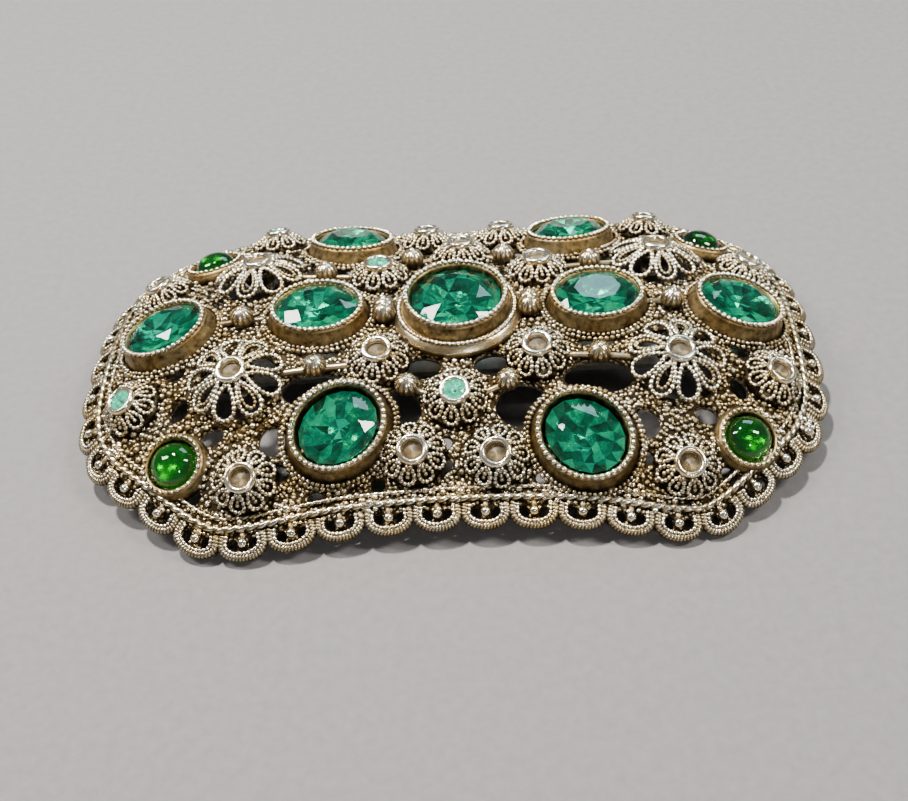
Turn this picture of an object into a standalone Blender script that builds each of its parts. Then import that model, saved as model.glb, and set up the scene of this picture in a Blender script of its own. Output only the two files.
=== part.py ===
"""Domed openwork barrette: a scalloped filigree plate set with faceted stones and flowers, on a French clip.

Metres, +Z up. The barrette stands face up on the plane z = 0, its length along X.
The origin is under the middle of the plate, on that plane.
"""

import math

import bmesh
import bpy
import numpy as np
from mathutils import Matrix, Vector

NAME = "barrette"

# The dome: almost straight along X up to a low shoulder, then falling; an arc across Y.
DOME_TOP = 0.0126
SHOULDER_X = 0.0202
SHOULDER_RISE = 0.00025
CROSS_RADIUS = 0.0497
PLATE_THICKNESS = 0.0011

# The rim: the line through the balls in the border loops, one quarter, front middle to right end.
# The centre stone, and with it the middle of the rim, stands CENTRE_X right of the plate's middle.
RIM_QUARTER = [
    (0.0, -0.0299),
    (0.015, -0.0305),
    (0.0286, -0.0322),
    (0.0351, -0.0308),
    (0.0438, -0.0238),
    (0.0486, -0.0186),
    (0.0513, -0.0115),
    (0.0517, 0.0),
]
RIM_END = 0.0517
CENTRE_X = 0.0014
LOOPS = 46
LOOP_DEPTH = 0.0021

# Stones: half lengths, and heights of the girdle over the plate.
OVAL_HALF = (0.0058, 0.0048)
OVAL_GIRDLE = 0.0016
OVAL_RIM = 0.0024
CENTRE_RADIUS = 0.0065
CENTRE_GIRDLE = 0.0028
CABOCHON_RADIUS = 0.0034
CHATON_RADIUS = 0.00135
GAP = 0.0003

# Where the oval stones stand, and the turn of their long axis in degrees.
OVALS = {
    "mid_left": (-0.0184, 0.0, 0),
    "mid_right": (0.0214, 0.0, 0),
    "outer_left": (-0.0401, -0.0006, 0),
    "outer_right": (0.0412, -0.0003, 0),
    "front_left": (-0.0146, -0.0192, 47),
    "front_right": (0.0181, -0.0218, -47),
    "back_left": (-0.0153, 0.0200, -47),
    "back_right": (0.0186, 0.0197, 47),
}
CABOCHONS = {
    "front_left": (-0.0368, -0.0219),
    "front_right": (0.0399, -0.0215),
    "back_left": (-0.0366, 0.0180),
    "back_right": (0.0389, 0.0183),
}
BIG_FLOWERS = {
    "big_front_left": (-0.0290, -0.0110),
    "big_front_right": (0.0314, -0.0110),
    "big_back_left": (-0.0283, 0.0112),
    "big_back_right": (0.0308, 0.0109),
}
SMALL_FLOWERS = {
    "corner_front_left": (-0.0270, -0.0251),
    "corner_front_right": (0.0312, -0.0256),
    "corner_back_left": (-0.0278, 0.0256),
    "corner_back_right": (0.0308, 0.0246),
    "mid_front_left": (-0.0096, -0.0087),
    "mid_front_right": (0.0125, -0.0091),
    "mid_back_left": (-0.0103, 0.0093),
    "mid_back_right": (0.0133, 0.0089),
    "pair_front_left": (-0.0047, -0.0227),
    "pair_front_right": (0.0063, -0.0235),
    "pair_back_left": (-0.0037, 0.0220),
    "pair_back_right": (0.0080, 0.0224),
    "end_front_left": (-0.0441, -0.0119),
    "end_front_right": (0.0447, -0.0119),
    "end_back_left": (-0.0432, 0.0112),
    "end_back_right": (0.0442, 0.0106),
    "middle_front": (0.0011, -0.0153),
    "middle_back": (0.0018, 0.0154),
}
SMALL_FLOWER = {"radius": 0.0043, "height": 0.0029, "petals": 6}
LARGE_FLOWER = {"radius": 0.0059, "height": 0.0034, "petals": 8}
COLLET_RADIUS = 0.0021
COLLET_BORE = 0.00165

# Openings of the filigree, one quarter: place from the centre stone, half length, half width, turn.
OPENINGS = [
    (0.0047, 0.0099, 0.0021, 0.0014, 0),
    (0.0083, 0.0169, 0.0025, 0.0022, 0),
    (0.0194, 0.0134, 0.0038, 0.0017, 0),
    (0.0194, 0.0069, 0.0026, 0.0010, 0),
    (0.0251, 0.0200, 0.0016, 0.0018, 0),
    (0.0242, 0.0243, 0.0013, 0.0009, 0),
    (0.0385, 0.0141, 0.0010, 0.0014, 0),
    (0.0334, 0.0187, 0.0013, 0.0010, 0),
    (0.0357, 0.0057, 0.0010, 0.0012, 0),
    (0.0396, 0.0079, 0.0012, 0.0010, 0),
    (0.0357, 0.0262, 0.0011, 0.0009, 0),
    (0.0192, 0.0276, 0.0009, 0.0008, 0),
    (0.0109, 0.0262, 0.0009, 0.0008, 0),
    (0.0019, 0.0212, 0.0008, 0.0008, 0),
    (0.0019, 0.0241, 0.0008, 0.0008, 0),
]
FLOWER_OPENING = 0.0040
STONE_OPENING = (0.0036, 0.0030)

# The French clip under the plate.
STRIP_TOP = 0.0105
STRIP_ARCH = 0.540
STRIP_END = 0.0402
STRIP_HALF_WIDTH = 0.0048
STRIP_THICKNESS = 0.0007
POST_X = 0.0262
POST_RADIUS = 0.0010
PIN_X, PIN_Z = -0.0385, 0.0040
PIN_RADIUS = 0.0006
EAR_INNER, EAR_OUTER = 0.0036, 0.0044
BOW_END = 0.0310
BOW_HALF_WIDTH = 0.0033
BOW_THICKNESS = 0.0004
BOW_LEG_INNER = 0.00235
ARM_TOP = 0.0038
ARM_ARCH = 0.800
ARM_HALF_WIDTH = 0.00275
ARM_NECK = 0.00205
ARM_THICKNESS = 0.0009
EYE = {"start": 0.0338, "end": 0.0388, "half_width": 0.0036, "bar": 0.0010}
CATCH_BOTTOM = 0.0075
PRONG_INNER, PRONG_OUTER, PRONG_TIP = 0.0014, 0.0020, 0.00245
PRONG_TOP, PRONG_BOTTOM = 0.0072, 0.0012

METAL = ((0.46, 0.43, 0.36), 1.0, 0.38)
STEEL = ((0.60, 0.60, 0.58), 1.0, 0.30)
EMERALD = ((0.02, 0.33, 0.20), 0.0, 0.05)
GREEN_GLASS = ((0.02, 0.20, 0.04), 0.0, 0.06)
PALE_EMERALD = ((0.10, 0.50, 0.36), 0.0, 0.05)


# ---------------------------------------------------------------- surface


def dome(x, y):
    """Height of the plate's upper face."""
    u = x / SHOULDER_X
    return DOME_TOP + SHOULDER_RISE * (2 * u**2 - u**4) - y**2 / (2 * CROSS_RADIUS)


def dome_normal(x, y):
    u = x / SHOULDER_X
    slope_x = SHOULDER_RISE * (4 * u - 4 * u**3) / SHOULDER_X
    return Vector((-slope_x, y / CROSS_RADIUS, 1)).normalized()


def on_dome(x, y, lift=0.0, turn=0.0):
    """The frame that stands on the plate at x, y, turned about the plate's normal."""
    up = dome_normal(x, y)
    along = Vector((math.cos(turn), math.sin(turn), 0))
    along = (along - up * along.dot(up)).normalized()
    across = up.cross(along)
    frame = Matrix((along, across, up)).transposed().to_4x4()
    frame.translation = Vector((x, y, dome(x, y))) + up * lift
    return frame


def rim_quarter():
    """A smooth line through RIM_QUARTER, as dense points with their distance along it."""
    first, last = RIM_QUARTER[1], RIM_QUARTER[-2]
    knots = [(-first[0], first[1]), *RIM_QUARTER, (last[0], -last[1])]
    knots = np.array(knots)
    line = []
    for before, start, end, after in zip(knots, knots[1:], knots[2:], knots[3:]):
        for t in np.linspace(0, 1, 24, endpoint=False):
            bend = (2 * before - 5 * start + 4 * end - after) * t**2
            twist = (3 * start - before - 3 * end + after) * t**3
            line.append(start + 0.5 * ((end - before) * t + bend + twist))
    line.append(knots[-2])
    line = np.array(line)
    steps = np.linalg.norm(np.diff(line, axis=0), axis=1)
    return line, np.concatenate([[0], np.cumsum(steps)])


RIM_LINE, RIM_DISTANCE = rim_quarter()
QUARTER = RIM_DISTANCE[-1]
PITCH = 4 * QUARTER / LOOPS


def rim(distance):
    """The rim's point at a distance along it, anticlockwise from the front middle."""
    turn, rest = divmod(distance, QUARTER)
    turn = int(turn) % 4
    if turn in (1, 3):
        rest = QUARTER - rest
    x = float(np.interp(rest, RIM_DISTANCE, RIM_LINE[:, 0]))
    y = float(np.interp(rest, RIM_DISTANCE, RIM_LINE[:, 1]))
    shift = CENTRE_X * (1 - (x / RIM_END) ** 3)
    return Vector(((x if turn < 2 else -x) + shift, y if turn in (0, 3) else -y))


def rim_outward(distance):
    ahead = rim(distance + 0.0002) - rim(distance - 0.0002)
    return Vector((ahead.y, -ahead.x)).normalized()


def scalloped_outline():
    """The plate's outline: one half ellipse outside the rim for each loop."""
    points = []
    for loop in range(LOOPS):
        for angle in range(-90, 90, 36):
            swing, out = math.sin(math.radians(angle)), math.cos(math.radians(angle))
            distance = (loop + 0.5 + 0.5 * swing) * PITCH
            points.append(rim(distance) + rim_outward(distance) * LOOP_DEPTH * out)
    return points


# ---------------------------------------------------------------- making objects


def collection(name):
    made = bpy.data.collections.new(name)
    bpy.context.scene.collection.children.link(made)
    return made


def add(name, mesh, where, frame=None):
    made = bpy.data.objects.new(name, mesh)
    where.objects.link(made)
    if frame is not None:
        made.matrix_world = frame
    if where.name == "cutters":
        made.hide_render = True
        made.display_type = "WIRE"
    return made


def mesh_of(bm, name):
    bmesh.ops.recalc_face_normals(bm, faces=bm.faces)
    mesh = bpy.data.meshes.new(name)
    bm.to_mesh(mesh)
    bm.free()
    return mesh


def finish(made, look):
    """Gives the object a material of its own, and smooth shading up to sharp edges."""
    colour, metallic, roughness = look
    material = bpy.data.materials.new(made.name)
    material.use_nodes = True
    shader = material.node_tree.nodes["Principled BSDF"]
    shader.inputs["Base Color"].default_value = (*colour, 1)
    shader.inputs["Metallic"].default_value = metallic
    shader.inputs["Roughness"].default_value = roughness
    made.data.materials.append(material)
    made.data.shade_smooth()
    made.data.set_sharp_from_angle(angle=math.radians(35))
    return made


def boolean(made, other, operation):
    modifier = made.modifiers.new(f"{operation.lower()} {other.name}", "BOOLEAN")
    modifier.operation = operation
    modifier.solver = "EXACT"
    modifier.object = other


def add_box(bm, low, high):
    low, high = Vector(low), Vector(high)
    size, middle = high - low, (low + high) / 2
    box = Matrix.Translation(middle) @ Matrix.Diagonal((*size, 1))
    bmesh.ops.create_cube(bm, size=1, matrix=box)


def box(name, where, low, high):
    bm = bmesh.new()
    add_box(bm, low, high)
    return add(name, mesh_of(bm, name), where)


def add_rod(bm, start, end, radius, sides):
    """A cylinder from start to end."""
    start, end = Vector(start), Vector(end)
    turn = (end - start).to_track_quat("Z", "Y").to_matrix().to_4x4()
    bmesh.ops.create_cone(
        bm,
        cap_ends=True,
        segments=sides,
        radius1=radius,
        radius2=radius,
        depth=(end - start).length,
        matrix=Matrix.Translation((start + end) / 2) @ turn,
    )


def rod(name, where, start, end, radius, sides=16):
    bm = bmesh.new()
    add_rod(bm, start, end, radius, sides)
    return add(name, mesh_of(bm, name), where)


def turned(name, profile, sides, stretch=1.0):
    """A mesh from a profile spun about Z, its Y side scaled by stretch.

    A profile that ends on the axis is closed there; any other is closed on itself.
    """
    bm = bmesh.new()
    verts = [bm.verts.new((r, 0, z)) for r, z in profile]
    edges = [bm.edges.new(pair) for pair in zip(verts, verts[1:])]
    if profile[0][0] > 0:
        edges.append(bm.edges.new((verts[-1], verts[0])))
    bmesh.ops.spin(
        bm,
        geom=verts + edges,
        cent=(0, 0, 0),
        axis=(0, 0, 1),
        angle=math.tau,
        steps=sides,
        use_merge=True,
    )
    bmesh.ops.remove_doubles(bm, verts=bm.verts, dist=1e-6)
    for vert in bm.verts:
        vert.co.y *= stretch
    return mesh_of(bm, name)


# ---------------------------------------------------------------- plate


def opening_cutter(name, where, openings):
    """Elliptical prisms, one for each opening in each quarter, all in one object."""
    bm = bmesh.new()
    for x, y, half_length, half_width, turn in openings:
        stretch = Matrix.Diagonal((half_length, half_width, 0.04, 1))
        spin = Matrix.Rotation(math.radians(turn), 4, "Z")
        bmesh.ops.create_cone(
            bm,
            cap_ends=True,
            segments=8,
            radius1=1,
            radius2=1,
            depth=1,
            matrix=Matrix.Translation((x, y, 0.01)) @ spin @ stretch,
        )
    return add(name, mesh_of(bm, name), where)


def all_openings():
    found = []
    for x, y, half_length, half_width, turn in OPENINGS:
        for side, end in ((1, 1), (1, -1), (-1, 1), (-1, -1)):
            found.append((CENTRE_X + x * side, y * end, half_length, half_width, turn * side * end))
    for x, y in BIG_FLOWERS.values():
        found.append((x, y, FLOWER_OPENING, FLOWER_OPENING, 0))
    for x, y, turn in OVALS.values():
        found.append((x, y, *STONE_OPENING, turn))
    found.append((CENTRE_X, 0, STONE_OPENING[1], STONE_OPENING[1], 0))
    return found


def outline_prism(where):
    curve = bpy.data.curves.new("outline", "CURVE")
    curve.dimensions = "2D"
    curve.fill_mode = "BOTH"
    curve.extrude = 0.02
    points = scalloped_outline()
    spline = curve.splines.new("POLY")
    spline.points.add(len(points) - 1)
    for spot, point in zip(spline.points, points):
        spot.co = (point.x, point.y, 0, 1)
    spline.use_cyclic_u = True
    drawn = bpy.data.objects.new("outline", curve)
    where.objects.link(drawn)
    bpy.context.view_layer.update()
    graph = bpy.context.evaluated_depsgraph_get()
    mesh = bpy.data.meshes.new_from_object(drawn.evaluated_get(graph))
    bpy.data.objects.remove(drawn)
    bm = bmesh.new()
    bm.from_mesh(mesh)
    bmesh.ops.remove_doubles(bm, verts=bm.verts, dist=1e-6)
    return add("outline_prism", mesh_of(bm, "outline_prism"), where)


def plate(parts, cutters):
    """The cast openwork plate, with the two posts that carry the clip."""
    bm = bmesh.new()
    bmesh.ops.create_grid(bm, x_segments=27, y_segments=15, size=1)
    for vert in bm.verts:
        x, y = vert.co.x * 0.056, vert.co.y * 0.0365
        vert.co = (x, y, dome(x, y))
    made = add("ornament_plate", mesh_of(bm, "ornament_plate"), parts)
    shell = made.modifiers.new("thickness", "SOLIDIFY")
    shell.thickness = PLATE_THICKNESS
    shell.offset = -1
    for side, x in (("left", -POST_X), ("right", POST_X)):
        foot = strip_top(x) - STRIP_THICKNESS
        top = dome(x, 0) - PLATE_THICKNESS / 2
        post = rod(f"post_{side}", cutters, (x, 0, foot), (x, 0, top), POST_RADIUS, 10)
        boolean(made, post, "UNION")
    boolean(made, outline_prism(cutters), "INTERSECT")
    boolean(made, opening_cutter("filigree_openings", cutters, all_openings()), "DIFFERENCE")
    below = box("below_table", cutters, (-0.08, -0.06, -0.02), (0.08, 0.06, 0))
    boolean(made, below, "DIFFERENCE")
    return finish(made, METAL)


# ---------------------------------------------------------------- stones and bezels


def faceted(name, radius, crown, pavilion, stretch, sides):
    """A cut stone: table, crown, girdle and a pavilion that ends in a small culet."""
    profile = [
        (0, crown),
        (0.58 * radius, crown),
        (radius, 0.0002),
        (radius, -0.0002),
        (0.08 * radius, -pavilion),
        (0, -pavilion),
    ]
    return turned(name, profile, sides, stretch)


def ring_profile(inner, outer, foot, top, seat, flange):
    """A bezel wall with an inner seat under the stone and a wider foot."""
    return [
        (outer, top),
        (inner, top),
        (inner, seat),
        (inner - 0.0010, seat - 0.0006),
        (inner - 0.0010, foot),
        (outer + flange, foot),
        (outer + flange * 0.6, foot + 0.0005),
    ]


def stone_settings(parts):
    wall = 0.00045
    oval_ring = ring_profile(
        OVAL_HALF[0] + GAP, OVAL_HALF[0] + GAP + wall, GAP, OVAL_RIM, 0.0010, 0.0005
    )
    stretch = (OVAL_HALF[1] + GAP + wall) / (OVAL_HALF[0] + GAP + wall)
    for name, (x, y, degrees) in OVALS.items():
        turn = math.radians(degrees)
        ring = turned(f"bezel_{name}", oval_ring, 16, stretch)
        finish(add(f"bezel_{name}", ring, parts, on_dome(x, y, 0, turn)), METAL)
        ratio = OVAL_HALF[1] / OVAL_HALF[0]
        stone = faceted(f"stone_{name}", OVAL_HALF[0], 0.0015, 0.0026, ratio, 12)
        frame = on_dome(x, y, OVAL_GIRDLE, turn)
        finish(add(f"stone_{name}", stone, parts, frame), EMERALD)

    centre_ring = ring_profile(
        CENTRE_RADIUS + GAP, CENTRE_RADIUS + GAP + wall, GAP, 0.0034, 0.0022, 0.0010
    )
    ring = turned("bezel_centre", centre_ring, 24)
    finish(add("bezel_centre", ring, parts, on_dome(CENTRE_X, 0)), METAL)
    stone = faceted("stone_centre", CENTRE_RADIUS, 0.0018, 0.0034, 1, 16)
    finish(add("stone_centre", stone, parts, on_dome(CENTRE_X, 0, CENTRE_GIRDLE)), EMERALD)


def cabochon_settings(parts):
    inner = CABOCHON_RADIUS + GAP
    wall = 0.0008
    ring = [(inner + wall, 0.0009), (inner, 0.0011), (inner, GAP), (inner + wall, GAP)]
    height = 0.0026
    arc = [math.radians(angle) for angle in (90, 65, 40, 15, 0)]
    profile = [(CABOCHON_RADIUS * math.cos(a), height * math.sin(a)) for a in arc]
    profile[0] = (0, height)
    profile.append((0, 0))
    for name, (x, y) in CABOCHONS.items():
        mesh = turned(f"cabochon_bezel_{name}", ring, 16)
        finish(add(f"cabochon_bezel_{name}", mesh, parts, on_dome(x, y)), METAL)
        mesh = turned(f"cabochon_{name}", profile, 12)
        finish(add(f"cabochon_{name}", mesh, parts, on_dome(x, y, GAP)), GREEN_GLASS)


# ---------------------------------------------------------------- flowers


def flower_mesh(name, radius, height, petals):
    """An umbrella of petals under an open collet, hollow below."""
    profile = [
        (0, height - 0.0019),
        (0.0012, height - 0.0019),
        (radius - 0.0006, GAP),
        (radius, GAP),
        (radius, GAP + 0.0006),
        (COLLET_RADIUS, height - 0.0006),
        (COLLET_RADIUS, height),
        (COLLET_BORE, height),
        (COLLET_BORE, height - 0.0012),
        (0, height - 0.0012),
    ]
    mesh = turned(name, profile, 2 * petals)
    step = math.pi / petals
    for vert in mesh.vertices:
        reach = math.hypot(vert.co.x, vert.co.y)
        column = round(math.atan2(vert.co.y, vert.co.x) / step)
        if reach > COLLET_RADIUS + 0.0005 and column % 2:
            vert.co.x *= 0.8
            vert.co.y *= 0.8
    return mesh


CHATON_FLOWERS = ("middle_front", "end_front_left", "corner_back_left", "mid_back_left")


def flowers(parts):
    for places, size in ((BIG_FLOWERS, LARGE_FLOWER), (SMALL_FLOWERS, SMALL_FLOWER)):
        for name, (x, y) in places.items():
            mesh = flower_mesh(f"flower_{name}", **size)
            finish(add(f"flower_{name}", mesh, parts, on_dome(x, y)), METAL)
    for name in CHATON_FLOWERS:
        mesh = faceted(f"chaton_{name}", CHATON_RADIUS, 0.0006, 0.0006, 1, 8)
        frame = on_dome(*SMALL_FLOWERS[name], SMALL_FLOWER["height"] - 0.0003)
        finish(add(f"chaton_{name}", mesh, parts, frame), PALE_EMERALD)


# ---------------------------------------------------------------- clip


def strip_top(x):
    return STRIP_TOP - x**2 / (2 * STRIP_ARCH)


def arm_top(x):
    return ARM_TOP - x**2 / (2 * ARM_ARCH)


def bow_top(x):
    return strip_top(x) - STRIP_THICKNESS - GAP


def arched(name, where, ends, half_width, top, thickness):
    """A bent strip along X, whose upper face follows the function top."""
    bm = bmesh.new()
    bmesh.ops.create_grid(bm, x_segments=12, y_segments=1, size=1)
    start, end = ends
    for vert in bm.verts:
        x = start + (end - start) * (vert.co.x + 1) / 2
        vert.co = (x, vert.co.y * half_width, top(x))
    made = add(name, mesh_of(bm, name), where)
    shell = made.modifiers.new("thickness", "SOLIDIFY")
    shell.thickness = thickness
    shell.offset = -1
    return made


def pin_hole(name, cutters, radius):
    reach = EAR_OUTER + 0.002
    return rod(name, cutters, (PIN_X, -reach, PIN_Z), (PIN_X, reach, PIN_Z), radius)


def clip_base(parts, cutters):
    """The strip on the plate's posts, with hinge ears at the left end and a catch block at the right."""
    ends = (-STRIP_END, STRIP_END)
    made = arched("clip_base", parts, ends, STRIP_HALF_WIDTH, strip_top, STRIP_THICKNESS)
    middle = strip_top(PIN_X) - STRIP_THICKNESS / 2
    for end, way in (("front", -1), ("back", 1)):
        low, high = sorted((way * EAR_INNER, way * EAR_OUTER))
        ear = box(
            f"ear_{end}",
            cutters,
            (PIN_X - 0.0016, low, PIN_Z - 0.0018),
            (PIN_X + 0.0020, high, middle),
        )
        boolean(made, ear, "UNION")
    block = box(
        "catch_block",
        cutters,
        (0.0332, -0.0044, CATCH_BOTTOM),
        (STRIP_END - 0.0002, 0.0044, strip_top(STRIP_END) - STRIP_THICKNESS / 2),
    )
    boolean(made, block, "UNION")
    boolean(made, pin_hole("ear_holes", cutters, PIN_RADIUS + GAP), "DIFFERENCE")
    for side, x in (("left", -POST_X), ("right", POST_X)):
        hole = rod(f"post_hole_{side}", cutters, (x, 0, 0), (x, 0, 0.02), POST_RADIUS + GAP)
        boolean(made, hole, "DIFFERENCE")
    finish(made, STEEL)


def hinge_pin(parts):
    start, end = (PIN_X, -EAR_OUTER - 0.0004, PIN_Z), (PIN_X, EAR_OUTER + 0.0004, PIN_Z)
    finish(rod("hinge_pin", parts, start, end, PIN_RADIUS), STEEL)


def on_hinge(made):
    """Moves the object's origin to the hinge axis and leaves its shape where it is."""
    pivot = Vector((PIN_X, 0, PIN_Z))
    made.data.transform(Matrix.Translation(-pivot))
    made.location = pivot


def tension_bow(parts, cutters):
    """The thin leaf that lies under the strip, on two eyes around the pin."""
    ends = (PIN_X - 0.0008, BOW_END)
    made = arched("tension_bow", parts, ends, BOW_HALF_WIDTH, bow_top, BOW_THICKNESS)
    top = bow_top(PIN_X) - BOW_THICKNESS / 2
    for end, way in (("front", -1), ("back", 1)):
        low, high = sorted((way * BOW_LEG_INNER, way * BOW_HALF_WIDTH))
        eye = rod(f"bow_eye_{end}", cutters, (PIN_X, low, PIN_Z), (PIN_X, high, PIN_Z), 0.0013)
        leg_low = (PIN_X - 0.0008, low + 0.00002, PIN_Z)
        leg_high = (PIN_X + 0.0008, high - 0.00002, top)
        leg = box(f"bow_leg_{end}", cutters, leg_low, leg_high)
        boolean(made, eye, "UNION")
        boolean(made, leg, "UNION")
    boolean(made, pin_hole("bow_holes", cutters, PIN_RADIUS + GAP), "DIFFERENCE")
    on_hinge(made)
    finish(made, STEEL)


def clasp_arm(parts, cutters):
    """The bar that closes over the hair, with a barrel on the pin and an eye for the prongs."""
    ends = (PIN_X + 0.0019, EYE["start"] + 0.0005)
    made = arched("clasp_arm", parts, ends, ARM_HALF_WIDTH, arm_top, ARM_THICKNESS)
    low = (PIN_X, -ARM_NECK + 0.00002, arm_top(PIN_X) - ARM_THICKNESS)
    high = (PIN_X + 0.0024, ARM_NECK - 0.00002, arm_top(PIN_X) + 0.0002)
    boolean(made, box("arm_neck", cutters, low, high), "UNION")
    start, end = (PIN_X, -ARM_NECK, PIN_Z), (PIN_X, ARM_NECK, PIN_Z)
    boolean(made, rod("arm_barrel", cutters, start, end, 0.0015), "UNION")
    middle = (EYE["start"] + EYE["end"]) / 2
    bottom, top = arm_top(middle) - ARM_THICKNESS, arm_top(middle)
    half = EYE["half_width"]
    frame = box("arm_eye", cutters, (EYE["start"], -half, bottom), (EYE["end"], half, top))
    boolean(made, frame, "UNION")
    bar = EYE["bar"]
    low = (EYE["start"] + bar, bar - half, 0)
    high = (EYE["end"] - bar, half - bar, 0.006)
    boolean(made, box("arm_eye_opening", cutters, low, high), "DIFFERENCE")
    boolean(made, pin_hole("arm_hole", cutters, PIN_RADIUS + GAP), "DIFFERENCE")
    on_hinge(made)
    finish(made, STEEL)


def prong(end, way, parts, cutters):
    """One spring prong of the catch: a leg through the arm's eye, a barb and a finger tab."""

    def span(inner, outer):
        return sorted((way * inner, way * outer))

    low, high = span(PRONG_INNER, PRONG_OUTER)
    made = box(f"catch_prong_{end}", parts, (0.0352, low, PRONG_BOTTOM), (0.0374, high, PRONG_TOP))
    shoulder_low, shoulder_high = span(PRONG_INNER + 0.00002, PRONG_OUTER - 0.00002)
    shoulder = box(
        f"prong_shoulder_{end}",
        cutters,
        (0.0360, shoulder_low, 0.0042),
        (0.0410, shoulder_high, PRONG_TOP - 0.00002),
    )
    barb_low, barb_high = span(PRONG_INNER + 0.0003, PRONG_TIP)
    barb = box(
        f"prong_barb_{end}",
        cutters,
        (0.03522, barb_low, PRONG_BOTTOM + 0.00002),
        (0.03738, barb_high, PRONG_BOTTOM + 0.0005),
    )
    tab_low, tab_high = span(PRONG_INNER + 0.0003, 0.0052)
    tab = box(
        f"prong_tab_{end}",
        cutters,
        (0.0404, tab_low, 0.00422),
        (0.0412, tab_high, PRONG_TOP - 0.00004),
    )
    for piece in (shoulder, barb, tab):
        boolean(made, piece, "UNION")
    root = Vector((0.0363, way * (PRONG_INNER + PRONG_OUTER) / 2, PRONG_TOP))
    made.data.transform(Matrix.Translation(-root))
    made.location = root
    finish(made, STEEL)


def main():
    for old in list(bpy.data.objects):
        bpy.data.objects.remove(old)
    parts, cutters = collection(NAME), collection("cutters")
    plate(parts, cutters)
    stone_settings(parts)
    cabochon_settings(parts)
    flowers(parts)
    clip_base(parts, cutters)
    hinge_pin(parts)
    tension_bow(parts, cutters)
    clasp_arm(parts, cutters)
    prong("front", -1, parts, cutters)
    prong("back", 1, parts, cutters)


main()
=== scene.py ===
"""Looks of the openwork barrette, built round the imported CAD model. Metres, +Z up.

The plate, its border, the settings, flowers and stones are replaced by detailed pieces that stand
where the CAD nodes stand. The clip keeps its CAD shapes and gets plated-steel materials.
"""

import math

import bpy
import numpy as np
from mathutils import Matrix, Vector


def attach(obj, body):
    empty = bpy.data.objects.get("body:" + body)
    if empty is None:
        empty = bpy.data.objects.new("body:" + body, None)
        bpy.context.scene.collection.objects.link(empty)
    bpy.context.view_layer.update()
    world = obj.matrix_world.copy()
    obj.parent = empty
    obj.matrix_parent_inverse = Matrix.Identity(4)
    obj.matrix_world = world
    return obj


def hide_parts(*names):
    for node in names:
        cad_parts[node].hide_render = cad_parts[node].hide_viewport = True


MM = 0.001

# The plate's upper face, the same as in the CAD model.
DOME_TOP = 12.6
SHOULDER_X = 20.2
SHOULDER_RISE = 0.25
CROSS_RADIUS = 49.7
RIM_QUARTER = [
    (0.0, -29.9),
    (15.0, -30.5),
    (28.6, -32.2),
    (35.1, -30.8),
    (43.8, -23.8),
    (48.6, -18.6),
    (51.3, -11.5),
    (51.7, 0.0),
]
RIM_END = 51.7
CENTRE_X = 1.4
PLATE_THICKNESS = 1.3
GRID_STEP = 0.4
LOOPS = 46
LOOP_DEPTH = 2.1

LOOP_BALL = 0.72
LOOP_HOLE = 0.80
# The opening under a large flower lies between these distances from its middle.
FLOWER_OPENING = (1.8, 5.7)
# Half length and half width of the opening under a stone.
STONE_OPENING = (3.6, 3.0)

# A loop's wires: reach outward, half width in pitches, radius, lift over the plate, ridge spacing.
OUTER_WIRE = (1.44, 0.43, 0.58, -0.05, 0.42)
INNER_WIRE = (1.02, 0.34, 0.30, 0.40, 0.52)

rng = np.random.default_rng(7)


# ---------------------------------------------------------------- the dome


def dome(x, y):
    """Height of the plate's upper face, in millimetres."""
    u = x / SHOULDER_X
    return DOME_TOP + SHOULDER_RISE * (2 * u**2 - u**4) - y**2 / (2 * CROSS_RADIUS)


def dome_normal(x, y):
    u = x / SHOULDER_X
    slope = SHOULDER_RISE * (4 * u - 4 * u**3) / SHOULDER_X
    up = np.stack([-slope, y / CROSS_RADIUS, np.ones_like(u)], -1)
    return up / np.linalg.norm(up, axis=-1, keepdims=True)


def on_dome(xy, lift=0.0):
    """Points over the plate at the given x, y, and the plate's normals there."""
    xy = np.asarray(xy, float)
    x, y = xy[..., 0], xy[..., 1]
    up = dome_normal(x, y)
    lift = np.asarray(lift, float)[..., None]
    return np.stack([x, y, dome(x, y)], -1) + up * lift, up


class Stand:
    """A frame that stands on the plate: local x, y, z to points in the row frame."""

    def __init__(self, x, y, turn=0.0):
        self.origin, self.up = on_dome((x, y))
        along = np.array([math.cos(turn), math.sin(turn), 0.0])
        along -= self.up * (along @ self.up)
        self.along = along / np.linalg.norm(along)
        self.across = np.cross(self.up, self.along)

    def place(self, x, y, z):
        x, y, z = np.broadcast_arrays(*(np.asarray(v, float)[..., None] for v in (x, y, z)))
        return self.origin + x * self.along + y * self.across + z * self.up


def rim_quarter():
    """A smooth line through RIM_QUARTER, as dense points with their distance along it."""
    first, last = RIM_QUARTER[1], RIM_QUARTER[-2]
    knots = np.array([(-first[0], first[1]), *RIM_QUARTER, (last[0], -last[1])])
    line = []
    for before, start, end, after in zip(knots, knots[1:], knots[2:], knots[3:]):
        for t in np.linspace(0, 1, 24, endpoint=False):
            bend = (2 * before - 5 * start + 4 * end - after) * t**2
            twist = (3 * start - before - 3 * end + after) * t**3
            line.append(start + 0.5 * ((end - before) * t + bend + twist))
    line.append(knots[-2])
    line = np.array(line)
    steps = np.linalg.norm(np.diff(line, axis=0), axis=1)
    return line, np.concatenate([[0], np.cumsum(steps)])


RIM_LINE, RIM_DISTANCE = rim_quarter()
QUARTER = RIM_DISTANCE[-1]
PITCH = 4 * QUARTER / LOOPS


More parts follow.
